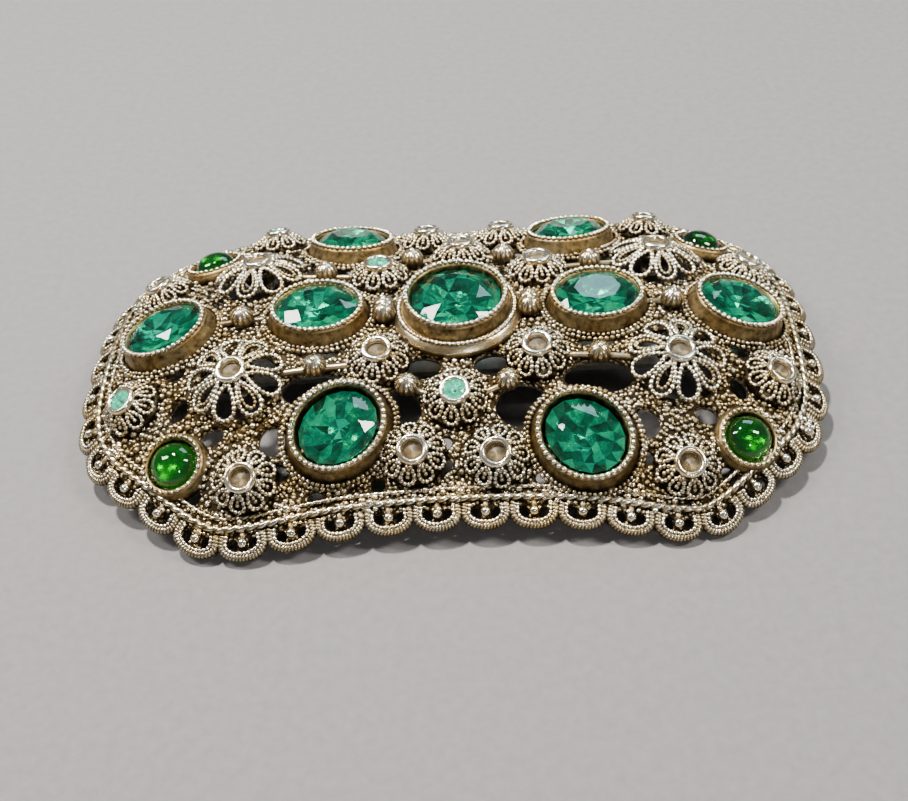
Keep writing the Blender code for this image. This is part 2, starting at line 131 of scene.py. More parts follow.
def rim(distance):
    """The rim's points at distances along it, anticlockwise from the front middle."""
    distance = np.asarray(distance, float)
    turn, rest = np.divmod(distance, QUARTER)
    turn = turn.astype(int) % 4
    rest = np.where(turn % 2 == 1, QUARTER - rest, rest)
    x = np.interp(rest, RIM_DISTANCE, RIM_LINE[:, 0])
    y = np.interp(rest, RIM_DISTANCE, RIM_LINE[:, 1])
    x = np.where(turn < 2, x, -x) + CENTRE_X * (1 - (x / RIM_END) ** 3)
    y = np.where((turn == 0) | (turn == 3), y, -y)
    return np.stack([x, y], -1)


def rim_outward(distance):
    ahead = rim(distance + 0.2) - rim(distance - 0.2)
    out = np.stack([ahead[..., 1], -ahead[..., 0]], -1)
    return out / np.linalg.norm(out, axis=-1, keepdims=True)


# ---------------------------------------------------------------- building meshes


class Shape:
    """Collects vertices, faces and each vertex's level of wear and painted shade, and makes one object
    of them.
    """

    def __init__(self):
        self.points, self.faces, self.worn, self.kinds = [], [], [], []
        self.count = 0

    def add(self, points, faces, worn, kind=0):
        """The level of wear and painted shade is one number for all the points, or one for each; kind is
        the faces' material.
        """
        points = np.asarray(points, float).reshape(-1, 3)
        self.points.append(points)
        self.worn.append(np.broadcast_to(np.asarray(worn, float).ravel(), len(points)))
        for face in faces:
            self.faces.append([int(i) + self.count for i in face])
            self.kinds.append(kind)
        self.count += len(points)

    def build(self, name, materials, slot, body="ornament", replaces=(), smooth=True):
        points = np.concatenate(self.points) * MM
        points[:, 2] = np.maximum(points[:, 2], 0.0)
        mesh = bpy.data.meshes.new(name)
        mesh.from_pydata(points.tolist(), [], self.faces)
        # Real wear and tarnish, and also painted highlight and painted shade: high on tops and crests,
        # low in hollows and underneath.
        worn = mesh.attributes.new("worn", "FLOAT", "POINT")
        worn.data.foreach_set("value", np.concatenate(self.worn).astype(np.float32))
        for material in materials:
            mesh.materials.append(material)
        mesh.polygons.foreach_set("material_index", self.kinds)
        mesh.polygons.foreach_set("use_smooth", [smooth] * len(mesh.polygons))
        facet = mesh.attributes.new("facet", "FLOAT", "FACE")
        facet.data.foreach_set("value", rng.uniform(0, 1, len(mesh.polygons)).astype(np.float32))
        mesh.update()
        made = bpy.data.objects.new(name, mesh)
        bpy.context.scene.collection.objects.link(made)
        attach(made, body)
        if replaces:
            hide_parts(*replaces)
        return made


def grid_faces(rows, columns, wrap_rows, wrap_columns):
    """Quads of a grid of points, rows x columns, wrapped round where asked."""
    r = np.arange(rows if wrap_rows else rows - 1)
    c = np.arange(columns if wrap_columns else columns - 1)
    r, c = np.meshgrid(r, c, indexing="ij")
    after_r, after_c = (r + 1) % rows, (c + 1) % columns
    quads = np.stack(
        [r * columns + c, after_r * columns + c, after_r * columns + after_c, r * columns + after_c], -1
    )
    return quads.reshape(-1, 4).tolist()


def resample(points, ups, count, closed):
    """The line at equal steps: count points, the last step open unless closed."""
    line = np.vstack([points, points[:1]]) if closed else points
    lines_up = np.vstack([ups, ups[:1]]) if closed else ups
    far = np.concatenate([[0], np.cumsum(np.linalg.norm(np.diff(line, axis=0), axis=1))])
    spots = np.linspace(0, far[-1], count + 1)[:-1] if closed else np.linspace(0, far[-1], count)
    path = np.stack([np.interp(spots, far, line[:, i]) for i in range(3)], -1)
    up = np.stack([np.interp(spots, far, lines_up[:, i]) for i in range(3)], -1)
    return path, up / np.linalg.norm(up, axis=1, keepdims=True), far[-1]


def length_of(points, closed):
    line = np.vstack([points, points[:1]]) if closed else points
    return np.linalg.norm(np.diff(line, axis=0), axis=1).sum()


def tube(shape, path, ups, radius, sides, closed, worn):
    """A tube along a path: radius and the level of wear and painted shade are given for each point and
    side.
    """
    if closed:
        ahead = np.roll(path, -1, 0) - np.roll(path, 1, 0)
    else:
        ahead = np.gradient(path, axis=0)
    ahead /= np.linalg.norm(ahead, axis=1, keepdims=True)
    side = np.cross(ahead, ups)
    side /= np.linalg.norm(side, axis=1, keepdims=True)
    top = np.cross(side, ahead)
    angle = np.arange(sides) / sides * math.tau
    radius = np.broadcast_to(radius, (len(path), sides))
    ring = (
        path[:, None]
        + (radius * np.cos(angle))[..., None] * side[:, None]
        + (radius * np.sin(angle))[..., None] * top[:, None]
    )
    worn = np.broadcast_to(worn, (len(path), sides))
    faces = grid_faces(len(path), sides, closed, True)
    points, levels = ring.reshape(-1, 3), worn.ravel()
    if not closed:
        ends = len(points)
        points = np.vstack([points, path[:1], path[-1:]])
        levels = np.append(levels, [worn[0].mean(), worn[-1].mean()])
        last = (len(path) - 1) * sides
        for k in range(sides):
            after = (k + 1) % sides
            faces.append([ends, k, after])
            faces.append([ends + 1, last + after, last + k])
    shape.add(points, faces, levels)


BEAD = np.array([0.55, 0.90, 1.0, 0.90])


def beaded(shape, points, ups, radius, pitch, closed, sides=6, level=1.0):
    """A wire of beads that run into one another."""
    beads = max(3, round(length_of(points, closed) / pitch))
    count = beads * len(BEAD) + (0 if closed else 1)
    path, up, _ = resample(points, ups, count, closed)
    swell = np.tile(BEAD, beads + 1)[:count]
    angle = np.arange(sides) / sides * math.tau
    # Beads are set lighter on their top side and at their crests, darker underneath and in the valleys
    # between them: partly wear, partly painted highlight and painted shade.
    lit_top = 0.35 + 0.65 * np.clip(np.sin(angle), 0, 1)
    jitter = 1 + 0.10 * np.repeat(rng.standard_normal(beads + 1), len(BEAD))[:count]
    full = (radius * swell * np.clip(jitter, 0.8, 1.2))[:, None]
    worn = level * lit_top[None] * ((swell - 0.5) * 2)[:, None] ** 0.7
    tube(shape, path, up, full * np.ones(sides), sides, closed, worn)


def twisted(shape, points, ups, radius, pitch, closed, depth, strands=2, level=1.0, steps=8):
    """A rope: the strands wind round once in each pitch, in the given number of steps."""
    sides = 8
    turns = max(2, round(length_of(points, closed) / pitch))
    count = turns * steps + (0 if closed else 1)
    path, up, _ = resample(points, ups, count, closed)
    wind = np.arange(count) / steps * math.tau
    angle = np.arange(sides) / sides * math.tau
    wave = np.abs(np.cos(0.5 * strands * (angle[None] - wind[:, None] / strands)))
    full = radius * (1 - depth + depth * wave)
    # The rope is set lighter on its top side and along the strands' crests, darker underneath and in the
    # grooves: partly wear, partly painted highlight and painted shade.
    worn = level * (0.2 + 0.8 * np.clip(np.sin(angle), 0, 1))[None] * wave
    tube(shape, path, up, full, sides, closed, worn)


def ball(shape, centre, radius, up, rings=6, sides=10, level=1.0):
    """A sphere with its pole along up."""
    along = np.cross(up, (0.31, 0.95, 0.0))
    along /= np.linalg.norm(along)
    across = np.cross(up, along)
    tilt = np.linspace(0, math.pi, rings + 1)[1:-1]
    spin = np.arange(sides) / sides * math.tau
    flat = np.sin(tilt)[:, None, None] * (
        np.cos(spin)[None, :, None] * along + np.sin(spin)[None, :, None] * across
    )
    points = centre + radius * (flat + np.cos(tilt)[:, None, None] * up)
    points = points.reshape(-1, 3)
    faces = grid_faces(rings - 1, sides, False, True)
    top, bottom = len(points), len(points) + 1
    points = np.vstack([points, centre + radius * up, centre - radius * up])
    last = (rings - 2) * sides
    for k in range(sides):
        after = (k + 1) % sides
        faces.append([top, after, k][::-1])
        faces.append([bottom, last + k, last + after][::-1])
    # A ball is set lighter towards its top and darker underneath: partly wear, partly painted highlight
    # and painted shade.
    height = ((points - centre) @ up) / radius
    shape.add(points, faces, level * np.clip(0.35 + 0.65 * height, 0, 1))


def lathe(shape, stand, profile, sides, worn):
    """A profile of (radius, height) pairs turned about the stand's axis, closed on itself."""
    spin = np.arange(sides) / sides * math.tau
    profile = np.asarray(profile, float)
    r, z = profile[:, 0][:, None], profile[:, 1][:, None]
    points = stand.place(r * np.cos(spin), r * np.sin(spin), z * np.ones(sides))
    worn = np.broadcast_to(np.asarray(worn, float).reshape(-1, 1), (len(profile), sides))
    shape.add(points, grid_faces(len(profile), sides, True, True), worn)


# ---------------------------------------------------------------- materials


def new_material(name):
    made = bpy.data.materials.new(name)
    made.use_nodes = True
    return made, made.node_tree.nodes, made.node_tree.links, made.node_tree.nodes["Principled BSDF"]


def ramp(nodes, stops):
    made = nodes.new("ShaderNodeValToRGB")
    while len(made.color_ramp.elements) < len(stops):
        made.color_ramp.elements.new(0.5)
    for element, (where, colour) in zip(made.color_ramp.elements, stops):
        element.position = where
        element.color = (*colour, 1)
    return made


def noise(nodes, links, scale, detail, roughness=0.6):
    where = nodes.new("ShaderNodeTexCoord")
    made = nodes.new("ShaderNodeTexNoise")
    made.inputs["Scale"].default_value = scale
    made.inputs["Detail"].default_value = detail
    made.inputs["Roughness"].default_value = roughness
    links.new(where.outputs["Object"], made.inputs["Vector"])
    return made


def antique_metal(name, dark, middle, bright, gold, shine=0.17, grainy=False):
    """Silver-toned metal: tarnish and painted shade where the level of wear and painted shade is low,
    bright wear and painted highlight where it is high, and gold in patches.
    """
    made, nodes, links, shader = new_material(name)
    worn = nodes.new("ShaderNodeAttribute")
    worn.attribute_name = "worn"
    blotch = noise(nodes, links, 900.0, 4.0)
    patch = noise(nodes, links, 170.0, 3.0)
    shift = nodes.new("ShaderNodeMath")
    shift.operation = "MULTIPLY_ADD"
    shift.inputs[1].default_value = 0.60
    shift.inputs[2].default_value = -0.30
    links.new(blotch.outputs["Fac"], shift.inputs[0])
    level = nodes.new("ShaderNodeMath")
    level.use_clamp = True
    links.new(worn.outputs["Fac"], level.inputs[0])
    links.new(shift.outputs[0], level.inputs[1])
    tone = ramp(nodes, [(0.04, dark), (0.38, middle), (0.80, bright)])
    links.new(level.outputs[0], tone.inputs["Fac"])
    golden = (1.0, 1.0 - 0.18 * gold, 1.0 - 0.52 * gold)
    warm = ramp(nodes, [(0.42, (1.0, 1.0, 1.0)), (0.66, golden)])
    links.new(patch.outputs["Fac"], warm.inputs["Fac"])
    mix = nodes.new("ShaderNodeMix")
    mix.data_type = "RGBA"
    mix.blend_type = "MULTIPLY"
    mix.inputs["Factor"].default_value = 1.0
    links.new(tone.outputs["Color"], mix.inputs["A"])
    links.new(warm.outputs["Color"], mix.inputs["B"])
    links.new(mix.outputs["Result"], shader.inputs["Base Color"])
    shader.inputs["Metallic"].default_value = 1.0
    rough = ramp(nodes, [(0.1, (0.55,) * 3), (0.7, (shine,) * 3)])
    links.new(level.outputs[0], rough.inputs["Fac"])
    links.new(rough.outputs["Color"], shader.inputs["Roughness"])
    bump = nodes.new("ShaderNodeBump")
    if grainy:
        beads = nodes.new("ShaderNodeTexVoronoi")
        beads.inputs["Scale"].default_value = 1500.0
        where = nodes.new("ShaderNodeTexCoord")
        links.new(where.outputs["Object"], beads.inputs["Vector"])
        round_off = ramp(nodes, [(0.0, (1.0,) * 3), (0.35, (0.75,) * 3), (0.6, (0.0,) * 3)])
        links.new(beads.outputs["Distance"], round_off.inputs["Fac"])
        links.new(round_off.outputs["Color"], bump.inputs["Height"])
        bump.inputs["Strength"].default_value = 0.9
        bump.inputs["Distance"].default_value = 0.00035
        # The grains' centres are also coloured lighter and the gaps between them darker: partly tarnish
        # between the grains, partly painted highlight and painted shade that follow the bumps.
        lift = nodes.new("ShaderNodeMath")
        lift.operation = "MULTIPLY_ADD"
        lift.inputs[1].default_value = 0.62
        links.new(round_off.outputs["Color"], lift.inputs[0])
        links.new(shift.outputs[0], lift.inputs[2])
        links.new(lift.outputs[0], level.inputs[1])
    else:
        grain = noise(nodes, links, 2600.0, 2.0)
        bump.inputs["Strength"].default_value = 0.35
        bump.inputs["Distance"].default_value = 0.00012
        links.new(grain.outputs["Fac"], bump.inputs["Height"])
    links.new(bump.outputs["Normal"], shader.inputs["Normal"])
    return made


def glass(name, colour):
    made, _, _, shader = new_material(name)
    shader.inputs["Base Color"].default_value = (*colour, 1)
    shader.inputs["Transmission Weight"].default_value = 1.0
    shader.inputs["Roughness"].default_value = 0.02
    shader.inputs["IOR"].default_value = 1.56
    return made


def foil(name, dark, light, scale, painted_glow, roughness=0.16):
    """The coloured foil behind a stone: a tone of its own for each facet, crazed as with age, and
    glowing in that tone by painted light.
    """
    made, nodes, links, shader = new_material(name)
    where = nodes.new("ShaderNodeTexCoord")
    cells = nodes.new("ShaderNodeTexVoronoi")
    cells.inputs["Scale"].default_value = scale
    links.new(where.outputs["Object"], cells.inputs["Vector"])
    cloud = noise(nodes, links, scale * 0.7, 4.0, 0.7)
    facet = nodes.new("ShaderNodeAttribute")
    facet.attribute_name = "facet"
    share = nodes.new("ShaderNodeMath")
    share.operation = "MULTIPLY_ADD"
    share.inputs[1].default_value = 0.55
    links.new(facet.outputs["Fac"], share.inputs[0])
    links.new(cloud.outputs["Fac"], share.inputs[2])
    between = [(2 * d + b) / 3 for d, b in zip(dark, light)]
    tone = ramp(nodes, [(0.42, dark), (0.80, between), (1.0, light)])
    links.new(share.outputs[0], tone.inputs["Fac"])
    links.new(tone.outputs["Color"], shader.inputs["Base Color"])
    # Its tone, different for each facet, is also emitted: painted light, so the facets glow unevenly
    # like glints though the foil is no lamp.
    links.new(tone.outputs["Color"], shader.inputs["Emission Color"])
    shader.inputs["Emission Strength"].default_value = painted_glow
    shader.inputs["Metallic"].default_value = 1.0
    shader.inputs["Roughness"].default_value = roughness
    bump = nodes.new("ShaderNodeBump")
    bump.inputs["Strength"].default_value = 0.25
    bump.inputs["Distance"].default_value = 0.0002
    links.new(cells.outputs["Distance"], bump.inputs["Height"])
    links.new(bump.outputs["Normal"], shader.inputs["Normal"])
    return made


def plated_steel(name):
    """The clip's dull plating, cloudy with handling."""
    made, nodes, links, shader = new_material(name)
    cloud = noise(nodes, links, 260.0, 4.0)
    tone = ramp(nodes, [(0.3, (0.34, 0.31, 0.26)), (0.6, (0.62, 0.60, 0.56))])
    links.new(cloud.outputs["Fac"], tone.inputs["Fac"])
    links.new(tone.outputs["Color"], shader.inputs["Base Color"])
    shader.inputs["Metallic"].default_value = 1.0
    rough = ramp(nodes, [(0.3, (0.42,) * 3), (0.7, (0.24,) * 3)])
    links.new(cloud.outputs["Fac"], rough.inputs["Fac"])
    links.new(rough.outputs["Color"], shader.inputs["Roughness"])
    return made


# ---------------------------------------------------------------- layout

OVALS = {
    "mid_left": (-18.4, 0.0, 0),
    "mid_right": (21.4, 0.0, 0),
    "outer_left": (-40.1, -0.6, 0),
    "outer_right": (41.2, -0.3, 0),
    "front_left": (-14.6, -19.2, 47),
    "front_right": (18.1, -21.8, -47),
    "back_left": (-15.3, 20.0, -47),
    "back_right": (18.6, 19.7, 47),
}
CABOCHONS = {
    "front_left": (-36.8, -21.9),
    "front_right": (39.9, -21.5),
    "back_left": (-36.6, 18.0),
    "back_right": (38.9, 18.3),
}
BIG_FLOWERS = {
    "big_front_left": (-29.0, -11.0),
    "big_front_right": (31.4, -11.0),
    "big_back_left": (-28.3, 11.2),
    "big_back_right": (30.8, 10.9),
}
SMALL_FLOWERS = {
    "corner_front_left": (-27.0, -25.1),
    "corner_front_right": (31.2, -25.6),
    "corner_back_left": (-27.8, 25.6),
    "corner_back_right": (30.8, 24.6),
    "mid_front_left": (-9.6, -8.7),
    "mid_front_right": (12.5, -9.1),
    "mid_back_left": (-10.3, 9.3),
    "mid_back_right": (13.3, 8.9),
    "pair_front_left": (-4.7, -22.7),
    "pair_front_right": (6.3, -23.5),
    "pair_back_left": (-3.7, 22.0),
    "pair_back_right": (8.0, 22.4),
    "end_front_left": (-44.1, -11.9),
    "end_front_right": (44.7, -11.9),
    "end_back_left": (-43.2, 11.2),
    "end_back_right": (44.2, 10.6),
    "middle_front": (1.1, -15.3),
    "middle_back": (1.8, 15.4),
}
# Half length and half width of the hollow of the turned ovals' settings and of the others.
CORNER_SETTING = (6.55, 5.7)
ROW_SETTING = (6.25, 5.25)
# Half length and half width of an oval stone, and its girdle's height over the plate.
SUNK_STONE = (5.7, 4.75, 1.5)
RAISED_STONE = (5.9, 4.95, 1.95)
CLIP = ("clip_base", "hinge_pin", "clasp_arm", "tension_bow", "catch_prong_front", "catch_prong_back")
FLOWER_SMALL = {"radius": 4.6, "height": 2.9, "petals": 9}
FLOWER_LARGE = {"radius": 7.0, "height": 3.4, "petals": 9}
CHATON_FLOWERS = ("middle_front", "end_front_left", "corner_back_left", "mid_back_left")
BALLS = [(19.6, 9.9), (6.9, 13.4), (30.6, 0.0), (10.4, 0.6)]
ROSETTES = [(11.9, 28.3), (22.8, 28.6), (0.0, 27.4), (34.6, 22.3), (47.4, 17.6)]
LINKS = [
    ((19.6, 9.9), (14.5, 9.5)),
    ((19.6, 9.9), (24.5, 10.4)),
    ((6.9, 13.4), (3.5, 14.8)),
    ((6.9, 13.4), (9.4, 11.2)),
    ((30.6, 0.0), (26.5, 0.0)),
    ((30.6, 0.0), (34.6, 0.0)),
]
OPENINGS = [
    (4.9, 10.0, 2.7, 2.0),
    (8.6, 16.5, 3.6, 3.3),
    (19.4, 12.9, 4.9, 2.8),
    (19.4, 6.9, 3.0, 1.2),
    (25.1, 20.0, 1.9, 2.1),
    (24.2, 24.3, 1.6, 1.1),
    (38.5, 14.1, 1.4, 1.8),
    (33.4, 18.7, 1.7, 1.3),
    (35.7, 5.7, 1.2, 1.4),
    (39.6, 7.9, 1.4, 1.2),
    (35.7, 26.2, 1.3, 1.1),
    (19.2, 27.6, 1.1, 1.0),
    (10.9, 26.2, 1.0, 0.9),
    (1.9, 21.2, 1.0, 1.0),
    (1.9, 24.1, 1.0, 1.0),
]


def mirrored(points):
    """Each point in all four quarters about the centre stone."""
    return [(CENTRE_X + x * sx, y * sy) for x, y in points for sx in (1, -1) for sy in (1, -1)
            if (sx > 0 or x) and (sy > 0 or y)]


# ---------------------------------------------------------------- ground plate


def ground_distance(x, y, border):
    """Negative where the plate has metal: inside the border line, outside the openings."""
    inside = border(x, y)
    for ox, oy, a, b in OPENINGS:
        for sx in (1, -1):
            for sy in (1, -1):
                u, v = (x - CENTRE_X - ox * sx) / a, (y - oy * sy) / b
                gap = (1 - np.sqrt(u * u + v * v)) * min(a, b)
                inside = np.maximum(inside, gap)
    for fx, fy in BIG_FLOWERS.values():
        away = np.hypot(x - fx, y - fy)
        inside = np.maximum(inside, np.minimum(FLOWER_OPENING[1] - away, away - FLOWER_OPENING[0]))
    half_long, half_wide = STONE_OPENING
    for cx, cy, degrees in [*OVALS.values(), (CENTRE_X, 0.0, 0)]:
        t = math.radians(degrees)
        u = ((x - cx) * math.cos(t) + (y - cy) * math.sin(t)) / half_long
        v = ((y - cy) * math.cos(t) - (x - cx) * math.sin(t)) / half_wide
        inside = np.maximum(inside, (1 - np.hypot(u, v)) * half_wide)
    spots = (np.arange(LOOPS) + 0.5) * PITCH
    for offset in (-0.215, 0.215):
        middle = rim(spots + offset * PITCH) + rim_outward(spots + offset * PITCH) * 0.1
        for hx, hy in middle:
            inside = np.maximum(inside, LOOP_HOLE - np.hypot(x - hx, y - hy))
    return inside


def border_field(x, y):
    """Distance outside the scalloped outline, roughly, in millimetres."""
    spots = np.arange(0, 4 * QUARTER, 0.35)
    line, out = rim(spots), rim_outward(spots)
    phase = (spots / PITCH) % 1 * 2 - 1
    reach = LOOP_DEPTH * np.sqrt(np.clip(1 - phase**2, 0, 1)) - 0.25
    flat = np.stack([x.ravel(), y.ravel()], -1)
    best = np.full(len(flat), 1e9)
    value = np.zeros(len(flat))
    for (px, py), (nx, ny), depth in zip(line, out, reach):
        dx, dy = flat[:, 0] - px, flat[:, 1] - py
        away = dx * dx + dy * dy
        nearer = away < best
        best = np.where(nearer, away, best)
        value = np.where(nearer, dx * nx + dy * ny - depth, value)
    return value.reshape(x.shape)


def ground():
    """The pierced sheet: marching squares over a field, given a thickness and walls."""
    xs = np.arange(-55, 55 + GRID_STEP, GRID_STEP) + 0.013
    ys = np.arange(-35.6, 35.6 + GRID_STEP, GRID_STEP) + 0.017
    x, y = np.meshgrid(xs, ys, indexing="ij")
    field = ground_distance(x, y, border_field)
    points, index = [], {}

    def corner(i, j):
        key = (i, j)
        if key not in index:
            index[key] = len(points)
            points.append((xs[i], ys[j]))
        return index[key]

    def crossing(a, b):
        key = (a, b) if a < b else (b, a)
        if key not in index:
            fa, fb = field[key[0]], field[key[1]]
            t = min(max(fa / (fa - fb), 0.02), 0.98)
            (ia, ja), (ib, jb) = key
            index[key] = len(points)
            points.append((xs[ia] + t * (xs[ib] - xs[ia]), ys[ja] + t * (ys[jb] - ys[ja])))
        return index[key]

    faces = []
    metal = field < 0
    for i in range(len(xs) - 1):
        for j in range(len(ys) - 1):
            around = ((i, j), (i + 1, j), (i + 1, j + 1), (i, j + 1))
            flags = [metal[c] for c in around]
            if all(flags):
                faces.append([corner(*c) for c in around])
                continue
            if not any(flags):
                continue
            loop = []
            for k in range(4):
                here, after = around[k], around[(k + 1) % 4]
                if flags[k]:
                    loop.append(corner(*here))
                if flags[k] != flags[(k + 1) % 4]:
                    loop.append(crossing(here, after))
            if len(loop) >= 3:
                faces.append(loop)
    flat = np.array(points)
    top, up = on_dome(flat)
    rough = 0.06 * rng.standard_normal(len(flat))
    top = top + up * rough[:, None]
    bottom = on_dome(flat, -PLATE_THICKNESS)[0]
    shape = Shape()
    total = len(flat)
    edges = {}
    for face in faces:
        edges.update(dict.fromkeys(zip(face, face[1:] + face[:1])))
    walls = [(a, b) for a, b in edges if (b, a) not in edges]
    both = [list(face) for face in faces]
    both += [[i + total for i in reversed(face)] for face in faces]
    both += [[b, a, a + total, b + total] for a, b in walls]
    # The top face is set darkest and the underside middling: partly tarnish, partly painted shade on the
    # sheet between the ornaments.
    level = np.concatenate([np.full(total, -0.10), np.full(total, 0.38)])
    shape.add(np.vstack([top, bottom]), both, level)
    shape.kinds[len(faces):2 * len(faces)] = [1] * len(faces)
    return shape


# ---------------------------------------------------------------- border


def ropes(shape):
    """A thick rope just inside the loops, and a thin one inside that."""
    around = np.arange(0, 4 * QUARTER, 0.25)
    for inward, lift, radius, pitch in ((1.75, 0.28, 0.54, 1.4), (2.95, 0.10, 0.30, 0.9)):
        points, ups = on_dome(rim(around) - rim_outward(around) * inward, lift)
        twisted(shape, points, ups, radius, pitch, True, 0.34)


def border(shape):
    """Forty-six loops of ridged wire, each round a ball."""
    for loop in range(LOOPS):
        middle = (loop + 0.5) * PITCH
        angle = np.radians(np.arange(-108, 109, 9))
        swing, out = np.sin(angle), np.cos(angle)
        for reach, half, radius, lift, pitch in (OUTER_WIRE, INNER_WIRE):
            depth = np.where(out > 0, out * reach, out * 3.4)
            line = rim(middle + swing * half * PITCH)
            line = line + rim_outward(middle + swing * half * PITCH) * depth[:, None]
            points, ups = on_dome(line, lift)
            if reach == OUTER_WIRE[0]:
                twisted(shape, points, ups, radius, pitch, False, 0.10, strands=1, level=0.62, steps=6)
            else:
                beaded(shape, points, ups, radius, pitch, False)
        centre, up = on_dome(rim(middle) - rim_outward(middle) * 0.15, 0.25)
        ball(shape, centre, LOOP_BALL, up)
        inward = np.array([[0.3], [0.8], [1.3]])
        stem, ups = on_dome(rim(middle) - rim_outward(middle) * inward, 0.0)
        tube(shape, stem, ups, np.full((3, 6), 0.45), 6, False, 0.3)


# ---------------------------------------------------------------- flowers


def umbrella(size, reach):
    """Height over the plate at a share of the way from collet to petal tip."""
    return 0.30 + (size["height"] - 1.0) * (1 - np.clip(reach, 0, 1.1) ** 1.7)


def collet(shape, stand, height, empty):
    """The small ring in a flower's middle, with its sunk floor."""
    turn = [(1.40, height - 1.0), (1.44, height - 0.2), (1.58, height), (1.90, height + 0.02),
            (2.12, height - 0.16), (2.18, height - 0.5), (2.0, height - 1.8), (1.2, height - 1.8)]
    # Lighter on the rim's top, darker inside and underneath: partly wear, partly painted highlight and
    # painted shade.
    levels = [0.2, 0.8, 1.0, 1.0, 0.95, 0.6, 0.2, 0.1]
    lathe(shape, stand, turn, 28, levels)
    spin = np.arange(20) / 20 * math.tau
    sunk = height - (0.85 if empty else 1.2)
    rings = [(1.5, sunk + 0.2), (1.25, sunk)]
    points = np.concatenate([stand.place(r * np.cos(spin), r * np.sin(spin), z) for r, z in rings])
    faces = grid_faces(2, 20, False, True) + [list(range(20, 40))]
    shape.add(points, faces, 0.5, 1)


def petal_line(stand, size, angle, start, tip, width, lift):
    """A teardrop from the collet to the petal's tip, lying on the umbrella."""
    tau = np.linspace(0, math.tau, 40, endpoint=False)
    share = (1 - np.cos(tau)) / 2
    reach = start + (tip - start) * share
    side = width * np.sin(tau) * (0.30 + 0.70 * share)
    r = np.hypot(reach, side)
    spin = angle + np.arctan2(side, reach)
    share = np.clip((r - 2.0) / (size["radius"] - 2.0), 0, 1.1)
    z = umbrella(size, share) + lift
    return stand.place(r * np.cos(spin), r * np.sin(spin), z)


def flower(shape, x, y, size, large, empty, turn):
    """Petals of beaded wire round a collet, over a core set darkest as painted shade under the petals;
    large ones are open underneath.
    """
    stand = Stand(x, y, turn)
    petals, radius = size["petals"], size["radius"]
    ups = np.broadcast_to(stand.up, (40, 3))
    steps = np.linspace(0, 1, 6)
    reach = 3.2 if large else radius
    under = []
    for step in steps:
        height = umbrella(size, step * (reach - 2) / (radius - 2)) - 0.45
        under.append((1.9 + (reach - 2.0) * step, height))
    core = under + [(reach - 1.0, -0.1), (1.4, -0.1), (1.4, under[0][1])]
    # Painted shade: the core under the petals is set darkest.
    lathe(shape, stand, core, 32, [0.04] * len(core))
    share, bead, pitch, level = (0.84, 0.40, 0.66, 0.95) if large else (0.80, 0.34, 0.58, 0.80)
    for k in range(petals):
        angle = (k + 0.5) * math.tau / petals
        width = math.sin(math.pi / petals) * radius * share
        line = petal_line(stand, size, angle, 2.15, radius - 0.35, width, 0.0)
        beaded(shape, line, ups, bead, pitch, True, level=level)
        if large and k % 2:
            line = petal_line(stand, size, angle, 2.4, radius - 1.15, width * 0.52, -0.12)
            beaded(shape, line, ups, 0.30, 0.55, True, level=0.5)
        elif not large:
            reach = np.linspace(2.3, radius - 0.95, 10)
            z = umbrella(size, (reach - 2.0) / (radius - 2.0)) - 0.1
            line = stand.place(reach * math.cos(angle), reach * math.sin(angle), z)
            beaded(shape, line, ups[:10], 0.32, 0.52, False, level=0.55)
    collet(shape, stand, size["height"] + 0.28, empty)


# ---------------------------------------------------------------- settings and stones


def ellipse(stand, a, b, z, count):
    spin = np.arange(count) / count * math.tau
    return stand.place(a * np.cos(spin), b * np.sin(spin), z)


def setting(shape, x, y, turn, a, b, top, flare, beads, bead_radius):
    """A flared wall from the plate to a rim of beads, with a thin lip inside."""
    stand = Stand(x, y, turn)
    count = 64
    spin = np.arange(count) / count * math.tau
    rings, levels = [], []
    # The last number of each ring sets the wall darkest deep in the hollow and at the foot, lighter at
    # the rim: partly tarnish, partly painted shade.
    for grow, height, level in (
        (-0.60, top - 1.5, 0.02),
        (-0.42, top - 0.45, 0.10),
        (-0.36, top - 0.05, 0.30),
        (0.0, top + 0.02, 0.30),
        (0.36, top - 0.12, 0.30),
        (0.46, top - 0.45, 0.16),
        (0.46 + flare * 0.30, top * 0.45, 0.20),
        (0.46 + flare * 0.75, top * 0.16, 0.14),
    ):
        wobble = 0.03 * rng.standard_normal(count)
        half_long, half_wide = a + grow + wobble, b + grow + wobble
        rings.append(stand.place(half_long * np.cos(spin), half_wide * np.sin(spin), height))
        levels.append(np.full(count, level))
    foot = stand.place((a + 0.5 + flare) * np.cos(spin), (b + 0.5 + flare) * np.sin(spin), 0.0)
    rings.append(on_dome(foot[:, :2], 0.02)[0])
    rings.append(on_dome(foot[:, :2], -0.5)[0])
    inner = stand.place((a - 0.9) * np.cos(spin), (b - 0.9) * np.sin(spin), 0.0)
    rings.append(on_dome(inner[:, :2], -0.5)[0])
    levels += [np.full(count, 0.05), np.full(count, 0.0), np.full(count, 0.0)]
    shape.add(np.concatenate(rings), grid_faces(len(rings), count, True, True), np.concatenate(levels))
    line = ellipse(stand, a + 0.05, b + 0.05, top + 0.12, 160)
    ups = np.broadcast_to(stand.up, (160, 3))
    path, _, _ = resample(line, ups, beads, True)
    for spot in path:
        ball(shape, spot, bead_radius * (1 + 0.06 * rng.standard_normal()), stand.up, 5, 8)


